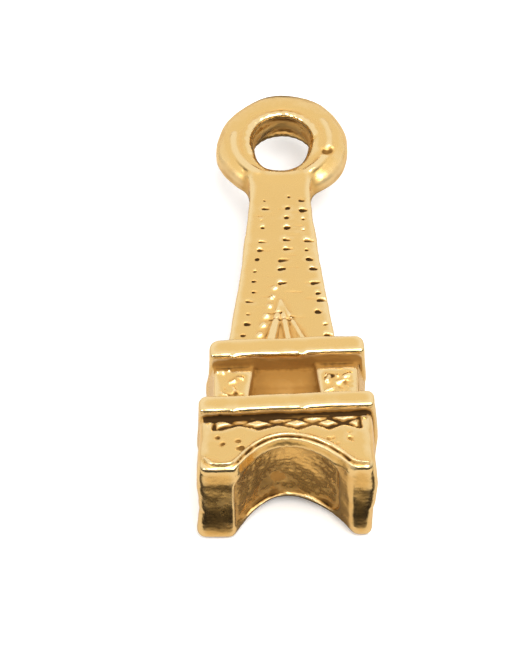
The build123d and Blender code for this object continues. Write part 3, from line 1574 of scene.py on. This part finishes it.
@dataclass(frozen=True)
class MirroredTop(TableTop):
    """A warmer, darker copy of the table that only the charm mirrors: painted shade in its
    reflections.
    """

    glow: float = 0.0
    dark: tuple[float, float, float] = (0.9, 0.78, 0.6)
    light: tuple[float, float, float] = (0.95, 0.84, 0.68)
    # painted shadow under the charm
    under: tuple[float, float, float] = (0.05, 0.035, 0.02)
    # painted shadow in front of each foot end, mirrored in the foot ends
    painted_foot_shadow: tuple[float, float, float] = (0.008, 0.006, 0.004)
    painted_foot_shadow_from: float = 0.5  # in front of the foot ends, in millimetres
    painted_foot_shadow_to: float = 2.95
    painted_shadow_half_width: float = 3.4

    def colour(self, sheet: NodeSheet, place: bpy.types.NodeSocket) -> bpy.types.NodeSocket:
        """The surface's colour, with painted shadow under the charm and just in front of each foot
        end.

        Args:
            sheet: where its nodes go.
            place: the place on the surface.

        Returns:
            The colour's socket.
        """
        grain = sheet.pattern(place, self.grain_scale, 3.0)
        tints = (self.dark, self.light)
        dark, light = (tuple(self.tone * part for part in tint) for tint in tints)
        parts = sheet.node("ShaderNodeSeparateXYZ", inputs={"Vector": place})
        ahead = (CAD_BOUNDS[0].y - Value(sheet, parts.outputs["Y"])) * MM
        beside = Value(sheet, parts.outputs["X"]) * MM
        under = ((self.painted_shadow_half_width - beside) * 2.0).held() * ((self.painted_shadow_half_width + beside) * 2.0).held()
        under = under * ((-0.1 - ahead) * 3.0).held()
        painted_foot_shadow = ((ahead - self.painted_foot_shadow_from) * 6.0).held() * ((self.painted_foot_shadow_to - ahead) * 4.0).held()
        apart = ((beside * beside - 2.6) * 0.5).held()
        # painted shadow under the charm, then in front of the foot ends away from the middle
        shaded = sheet.blend(under * 0.8, sheet.blend(grain, dark, light), self.under)
        return sheet.blend(painted_foot_shadow * apart, shaded, self.painted_foot_shadow)


# Pieces ----------------------------------------------------------------------------------


@dataclass
class Casting:
    """The whole charm: its members, and the pieces that they are cut into."""

    members: list[Member]
    block: Block
    finish: GoldPlating
    waves: tuple[tuple[float, float], ...] = ((2.6, 0.013), (0.95, 0.0045), (0.28, 0.0013))
    smallest_lump: float = 0.3  # as a share of the piece's largest lump
    evened_over: float = 0.3
    deepest_hollow: float = 0.12
    looks_out: tuple[float, ...] = (0.12, 0.3, 0.7)
    wheel_gap: float = 3.0  # the widest gap that a polishing wheel doesn't enter
    crown_rise: float = 2.0  # from the foot ends to the crown of the arch
    looked_at: float = 0.3  # how far off the surface its depth below the faces is taken
    evens_from: float = 0.3  # the depth at which edges and hollows stop differing
    evens_over: float = 0.2
    evens_by: float = 0.8
    stain_and_shade_from: float = 0.12  # the depth at which the stain and painted shade set in
    stain_and_shade_over: float = 0.55
    stain_and_shade_most: float = 0.6
    scoured: float = 0.045  # how much of the stain and painted shade a rough wall sheds
    pieces: list[bpy.types.Object] = field(default_factory=list)

    def pour(self) -> Skin:
        """Works the casting out.

        Returns:
            The skin, with its pieces numbered from 1 in the order of self.tests().
        """
        rng = np.random.default_rng(SEED)
        metal = Field(self.block, PITCH)
        for member in self.members:
            member.shape(metal)
        for member in self.members:
            member.detail(metal, rng)
        skin = Skin(metal, self.owners(metal))
        skin.roughen(np.random.default_rng(SEED + 3), self.waves, self.coarse)
        return skin

    def coarse(self, points: Array) -> Array:
        """How much rougher than the faces the casting is, for each point."""
        return sum(member.coarse(points) for member in self.members)

    def tests(self) -> list[tuple[str, Shape]]:
        """Each CAD node with the test of what belongs to it, in order."""
        return [item for member in self.members for item in member.nodes().items()]

    def owners(self, metal: Field) -> Array:
        """The piece that each sample belongs to.

        Args:
            metal: the casting.

        Returns:
            The piece's number from 1, or 0 in the air.
        """
        owner = np.zeros(metal.value.shape, np.int16)
        solid = metal.value < 0
        whole = tuple(slice(None) for _ in range(3))
        places = metal.places(whole)
        for number, (_, test) in enumerate(self.tests(), 1):
            mine = np.broadcast_to(test(*places), solid.shape) & solid & (owner == 0)
            owner[mine] = number
        self.hand_over_crumbs(owner)
        return owner

    def hand_over_crumbs(self, owner: Array) -> None:
        """Gives a piece's small separate lumps to the pieces that they touch.

        Args:
            owner: for each sample, the number of its piece, or 0 in the air. It is changed.
        """
        flat = owner.reshape(-1)
        across, along = owner.shape[1] * owner.shape[2], owner.shape[2]
        steps = np.array((across, -across, along, -along, 1, -1))
        for number in range(1, len(self.tests()) + 1):
            lumps = self.lumps(flat == number, steps)
            for lump in lumps[1:]:
                if len(lump) < self.smallest_lump * len(lumps[0]):
                    flat[lump] = -1
        crumbs = np.flatnonzero(flat < 0)
        while len(crumbs):
            before = len(crumbs)
            for step in steps:
                near = flat[crumbs + step]
                flat[crumbs] = np.where((flat[crumbs] < 0) & (near > 0), near, flat[crumbs])
            crumbs = crumbs[flat[crumbs] < 0]
            if len(crumbs) == before:
                flat[crumbs] = 0
                break

    @staticmethod
    def lumps(left: Array, steps: Array) -> list[Array]:
        """The separate lumps of a piece, the largest first.

        Args:
            left: which samples, in one row, belong to the piece.
            steps: how far along that row each sample's six neighbours are.

        Returns:
            For each lump, the places of its samples in the row.
        """
        found = []
        while left.any():
            front = np.array([left.argmax()])
            left[front] = False
            lump = [front]
            while len(front):
                near = (front[:, None] + steps).ravel()
                front = np.unique(near[left[near]])
                left[front] = False
                lump.append(front)
            found.append(np.concatenate(lump))
        return sorted(found, key=len, reverse=True)

    def wear(self, skin: Skin) -> dict[str, Array]:
        """Where the plating is rubbed bright, and where it is stained and painted with shade.

        Args:
            skin: the casting's surface.

        Returns:
            For each of the finish's attributes, its value at each point.
        """
        rounds = int((self.evened_over / PITCH) ** 2)
        hollow = np.clip(0.5 + skin.hollowness(rounds) / self.deepest_hollow, 0.0, 1.0)
        crown = self.block.low.y + self.crown_rise
        sunk = skin.metal.sunk(skin.points + self.looked_at * skin.normals, self.wheel_gap, crown)
        unpolished = np.clip((sunk - self.evens_from) / self.evens_over, 0.0, 1.0)
        hollow = 0.5 + (hollow - 0.5) * (1.0 - self.evens_by * unpolished)
        # depth below the polished faces, which darkens recesses: partly stain, partly painted shade
        stain_and_shade_depth = np.clip((sunk - self.stain_and_shade_from) / self.stain_and_shade_over, 0.0, self.stain_and_shade_most)
        # shelter, an ambient-occlusion measure, carries painted shade into the material
        shelter = skin.shelter(self.looks_out) + stain_and_shade_depth
        shelter = shelter * (1.0 - self.scoured * self.coarse(skin.points))
        return {"hollow": hollow, "shelter": shelter}

    def break_out(self, skin: Skin) -> None:
        """Makes one object for each CAD node, dresses it and puts it in the frame.

        Args:
            skin: the casting's surface.
        """
        gold = self.finish.material()
        wear = self.wear(skin)
        for number, (name, _) in enumerate(self.tests(), 1):
            points, quads, outside, used = skin.piece(number)
            if not len(quads):
                log.warning("%s has no metal", name)
                continue
            mesh = self.mesh(f"{name}_skin", points / MM, quads)
            for label, amount in wear.items():
                shade = mesh.attributes.new(label, "FLOAT", "POINT")
                shade.data.foreach_set("value", amount[used].astype(np.float32))
            self.smooth(mesh, skin.normals[used], quads, outside)
            piece = bpy.data.objects.new(f"{name}_cast", mesh)
            bpy.context.scene.collection.objects.link(piece)
            mesh.materials.append(gold)
            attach(piece, "root")
            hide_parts(name)
            self.pieces.append(piece)
            log.info("%s: %d faces", piece.name, len(quads))

    @staticmethod
    def mesh(name: str, points: Array, quads: Array) -> bpy.types.Mesh:
        """A mesh of quads.

        Args:
            name: the mesh's name.
            points: its points, in metres.
            quads: four point numbers for each face.

        Returns:
            The mesh.
        """
        made = bpy.data.meshes.new(name)
        made.vertices.add(len(points))
        made.vertices.foreach_set("co", points.astype(np.float32).ravel())
        made.loops.add(quads.size)
        made.loops.foreach_set("vertex_index", quads.astype(np.int32).ravel())
        made.polygons.add(len(quads))
        made.polygons.foreach_set("loop_start", np.arange(0, quads.size, 4, dtype=np.int32))
        made.update(calc_edges=True)
        return made

    @staticmethod
    def smooth(mesh: bpy.types.Mesh, normals: Array, quads: Array, outside: Array) -> None:
        """Shades the outside by the whole casting's surface, and cut faces flat.

        Args:
            mesh: the piece's mesh.
            normals: the casting's normal at each of its points.
            quads: the mesh's faces.
            outside: which faces are on the outside of the casting.
        """
        mesh.shade_smooth()
        flat = np.zeros(len(quads) * 3, np.float32)
        mesh.polygons.foreach_get("normal", flat)
        flat = np.repeat(flat.reshape(-1, 3), 4, axis=0)
        corner = normals[quads.ravel()]
        corner = np.where(np.repeat(outside, 4)[:, None], corner, flat)
        mesh.normals_split_custom_set(corner.astype(np.float32).tolist())


# The studio ------------------------------------------------------------------------------


@dataclass(frozen=True)
class SoftBox:
    """A round soft lamp."""

    name: str
    place: Point  # in metres
    size: float
    power: float  # in watts

    def hang(self, aim: Vector) -> None:
        """Puts the lamp up, turned towards aim.

        Args:
            aim: where it points.
        """
        data = bpy.data.lights.new(self.name, "AREA")
        data.shape = "DISK"
        data.size = self.size
        data.energy = self.power
        lamp = bpy.data.objects.new(self.name, data)
        bpy.context.scene.collection.objects.link(lamp)
        lamp.location = Vector(self.place)
        lamp.rotation_euler = (aim - lamp.location).to_track_quat("-Z", "Y").to_euler()


@dataclass
class Studio:
    """A pale table, a soft white tent, two lamps and the camera."""

    centre: Vector
    elevation: float = 50.2  # of the camera, in degrees
    azimuth: float = -0.55
    roll: float = -1.32
    distance: float = 0.160
    focal: float = 230.85
    sensor: float = 36.0
    aim: tuple[float, float] = (-0.00102, -0.00255)
    seen_top: TableTop = TableTop("table", tone=0.94)
    # darker copy of the table, seen only in reflections: painted shade, with painted shadows
    mirrored_top: MirroredTop = MirroredTop("mirrored_table", tone=0.6, height=0.02)
    soft_boxes: tuple[SoftBox, ...] = (
        SoftBox("front_box", (0.12, -0.13, 0.37), size=0.34, power=1.5),
        SoftBox("left_box", (-0.26, -0.16, 0.28), size=0.12, power=0.45),
    )

    def build(self) -> None:
        """Sets everything up round the charm."""
        self.table()
        self.tent()
        for box in self.soft_boxes:
            box.hang(self.centre)
        self.camera()
        scene = bpy.context.scene
        scene.view_settings.view_transform = "Standard"
        scene.view_settings.look = "None"
        scene.view_settings.exposure = 0.0

    def table(self) -> None:
        """The white surface under the charm, and a greyer one with painted shade that only the charm
        mirrors.
        """
        self.seen_top.lay().visible_glossy = False
        mirrored = self.mirrored_top.lay()
        mirrored.visible_camera = False
        mirrored.visible_diffuse = False
        mirrored.visible_shadow = False

    def tent(self) -> None:
        """An even white surround, dark only low down in front, where the tent is open."""
        world = bpy.data.worlds.new("white_tent")
        world.use_nodes = True
        bpy.context.scene.world = world
        sheet = NodeSheet(world.node_tree)
        towards = sheet.node("ShaderNodeTexCoord").outputs["Generated"]
        parts = sheet.node("ShaderNodeSeparateXYZ", inputs={"Vector": towards})
        ahead = Value(sheet, parts.outputs["Y"])
        up = Value(sheet, parts.outputs["Z"])
        roof = ((up + 0.5 * ahead - 0.06) * 2.6).held()
        seen = sheet.value("ShaderNodeLightPath", output="Is Camera Ray")
        strength = seen + (1.0 - seen) * (0.07 + roof * 0.95)
        shader = sheet.node(
            "ShaderNodeBackground", inputs={"Color": (1.0, 0.99, 0.975, 1.0), "Strength": strength}
        )
        sheet.node("ShaderNodeOutputWorld", inputs={"Surface": shader.outputs["Background"]})

    def camera(self) -> None:
        """The camera, above the foot ends and looking down the tower."""
        tilt, turn, roll = (
            math.radians(angle) for angle in (self.elevation, self.azimuth, self.roll)
        )
        forward = Vector(
            (
                math.sin(turn) * math.cos(tilt),
                math.cos(turn) * math.cos(tilt),
                -math.sin(tilt),
            )
        )
        right = forward.cross(Vector((0, 0, 1))).normalized()
        up = right.cross(forward)
        turned_right = math.cos(roll) * right + math.sin(roll) * up
        turned_up = math.cos(roll) * up - math.sin(roll) * right
        target = Vector((*self.aim, self.centre.z))
        data = bpy.data.cameras.new("camera")
        data.sensor_fit = "HORIZONTAL"
        data.sensor_width = self.sensor
        data.lens = self.focal
        data.clip_start = 0.01
        camera = bpy.data.objects.new("camera", data)
        bpy.context.scene.collection.objects.link(camera)
        basis = Matrix((turned_right, turned_up, -forward)).transposed().to_4x4()
        camera.matrix_world = Matrix.Translation(target - forward * self.distance) @ basis
        bpy.context.scene.camera = camera


def members() -> list[Member]:
    """The members of the casting, each with its limits from the frame.

    Returns:
        The members, in the order in which they claim the metal.
    """
    piers = [side.node(face.node("pier")) for face in Face for side in Side]
    walls = [side.node("side_wall") for side in Side]
    arches = [face.node("arch") for face in Face]
    posts = [side.node(face.node("mid_post")) for face in Face for side in Side]
    mounts = {mount["name"]: mount for mount in frame["record"]["mounts"]}
    eye = mounts["hanging_eye"]
    return [
        HollowBase(
            block=Block.of("base_roof", *piers, *walls, *arches),
            roof=Block.of("base_roof"),
        ),
        Deck(
            Block.of("lower_deck"),
            name="lower_deck",
            swell=0.17,
            corner=0.36,
            lean=0.035,
            shift=0.05,
            wider=0.08,
        ),
        MidStorey(Block.of("mid_core", *posts), core=Block.of("mid_core")),
        Deck(
            Block.of("upper_deck"),
            name="upper_deck",
            swell=0.1,
            corner=0.45,
            lean=0.03,
            shift=0.1,
            wider=0.04,
        ),
        Shaft(
            Block.of("spire_shaft"),
            neck=Block.of("ring_neck"),
            ribs=Block.of("shaft_ribs_front"),
        ),
        HangingEye(
            Block.of("hanging_eye_ring"),
            bore_at=Vector(eye["pos_m"]) * MM,
            bore_radius=eye["dims"]["r_mm"],
        ),
    ]


def main() -> None:
    """Builds the charm and the studio round it."""
    logging.basicConfig(level=logging.INFO, format="%(name)s: %(message)s")
    low, high = (Vector(corner) * MM for corner in CAD_BOUNDS)
    block = Block(low, high)
    casting = Casting(members(), block, GoldPlating("gold_plating"))
    casting.break_out(casting.pour())
    Studio(block.middle / MM).build()
    log.info("%d pieces", len(casting.pieces))


if __name__ == "__main__":
    main()
